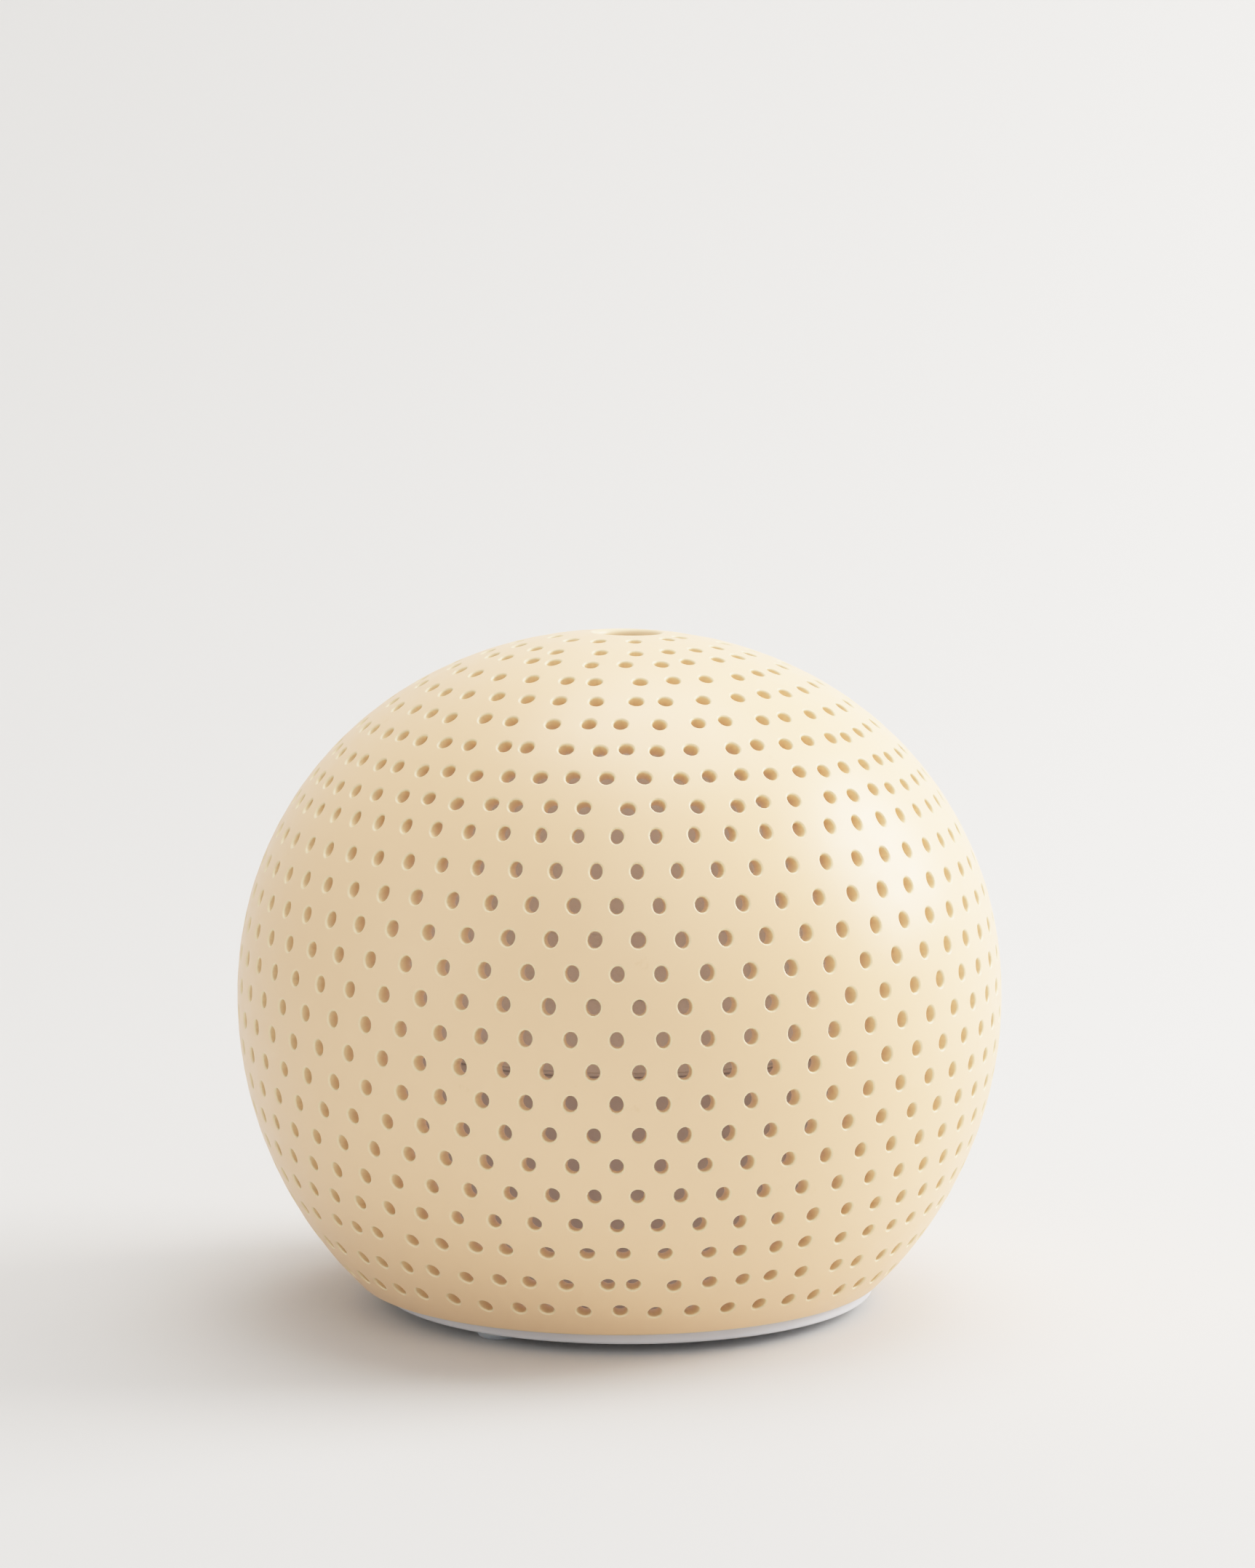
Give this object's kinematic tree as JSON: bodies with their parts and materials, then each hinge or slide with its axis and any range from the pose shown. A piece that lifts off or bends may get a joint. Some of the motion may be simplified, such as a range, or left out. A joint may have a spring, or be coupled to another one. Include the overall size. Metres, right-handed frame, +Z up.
{
  "type": "ultrasonic aroma diffuser",
  "caption": "Ultrasonic aroma diffuser: perforated ceramic globe cover lifting off a round plastic base unit with water tank, mist spout, fan and rear buttons.",
  "frame": {"origin": "on the floor, under the middle of the globe cover", "axes": "+Z up, -Y is the front, +Y is the rear with the power inlet and buttons"},
  "size_m": [0.15, 0.15, 0.1323],
  "materials": {
    "ceramic": "satin cream glaze",
    "shell_plastic": "fine satin, cool white",
    "button_plastic": "semi-gloss",
    "foot_silicone": "translucent",
    "label_film": "blank silver-grey film",
    "seal_silicone": "matt",
    "tank_plastic": "translucent white",
    "inner_plastic": "moulded",
    "black_plastic": "moulded",
    "green_board": "solder mask",
    "white_board": "white solder mask",
    "light_lens": "clear over phosphor",
    "screw_steel": "zinc plated",
    "disc_steel": "lapped",
    "heat_sink_aluminium": "extruded",
    "ferrite": "sintered",
    "capacitor_sleeve": "shrink sleeve",
    "black_lead": "wire insulation",
    "red_lead": "wire insulation"
  },
  "bodies": {
    "base_unit": {"air_duct": "inner_plastic", "base_plate": "shell_plastic", "board_screw_1": "screw_steel", "board_screw_2": "screw_steel", "board_screw_3": "screw_steel", "board_screw_4": "screw_steel", "capacitor": "capacitor_sleeve", "chimney_cap": "inner_plastic", "dc_jack": "black_plastic", "driver_chip": "black_plastic", "fan_frame": "black_plastic", "fan_lead": "black_lead", "fan_plug": "inner_plastic", "fan_screw_1": "screw_steel", "fan_screw_2": "screw_steel", "foot_front_left": "foot_silicone", "foot_rear": "foot_silicone", "foot_right": "foot_silicone", "heat_sink": "heat_sink_aluminium", "housing": "shell_plastic", "housing_screw_1": "screw_steel", "housing_screw_2": "screw_steel", "housing_screw_3": "screw_steel", "housing_screw_4": "screw_steel", "inductor": "ferrite", "light_1": "light_lens", "light_2": "light_lens", "light_3": "light_lens", "light_4": "light_lens", "light_5": "light_lens", "light_6": "light_lens", "light_board": "white_board", "light_switch": "black_plastic", "main_board": "green_board", "mist_lead": "red_lead", "mist_plug": "inner_plastic", "mist_switch": "black_plastic", "rating_label": "label_film", "tank_gasket": "seal_silicone", "transducer_clamp": "inner_plastic", "transducer_disc": "disc_steel", "transducer_screw_1": "screw_steel", "transducer_screw_2": "screw_steel", "transducer_screw_3": "screw_steel", "transducer_seal": "seal_silicone", "water_tank": "tank_plastic"},
    "cover": {"ceramic_cover": "ceramic"},
    "lid": {"tank_lid": "tank_plastic"},
    "rotor": {"fan_rotor": "black_plastic"},
    "mist_key": {"mist_button": "button_plastic"},
    "light_key": {"light_button": "button_plastic"}
  },
  "joints": [
    {"name": "cover_lift", "type": "slide", "parent": "base_unit", "child": "cover", "axis": [0, 0, 1], "range_m": [0, 0.12]},
    {"name": "lid_lift", "type": "slide", "parent": "base_unit", "child": "lid", "axis": [0, 0, 1], "range_m": [0, 0.04]},
    {"name": "fan_spin", "type": "hinge", "parent": "base_unit", "child": "rotor", "pos_m": [0.0015, -0.02076, 0.0106], "axis": [0, 0, 1], "continuous": true},
    {"name": "mist_button_press", "type": "slide", "parent": "base_unit", "child": "mist_key", "axis": [0, -1, 0], "range_m": [0, 0.0008], "stiffness_N_per_m": 900},
    {"name": "light_button_press", "type": "slide", "parent": "base_unit", "child": "light_key", "axis": [0, -1, 0], "range_m": [0, 0.0008], "stiffness_N_per_m": 900}
  ],
  "couplings": [
    {"joint": "lid_lift", "follows": "cover_lift", "ratio": 0.33333}
  ]
}
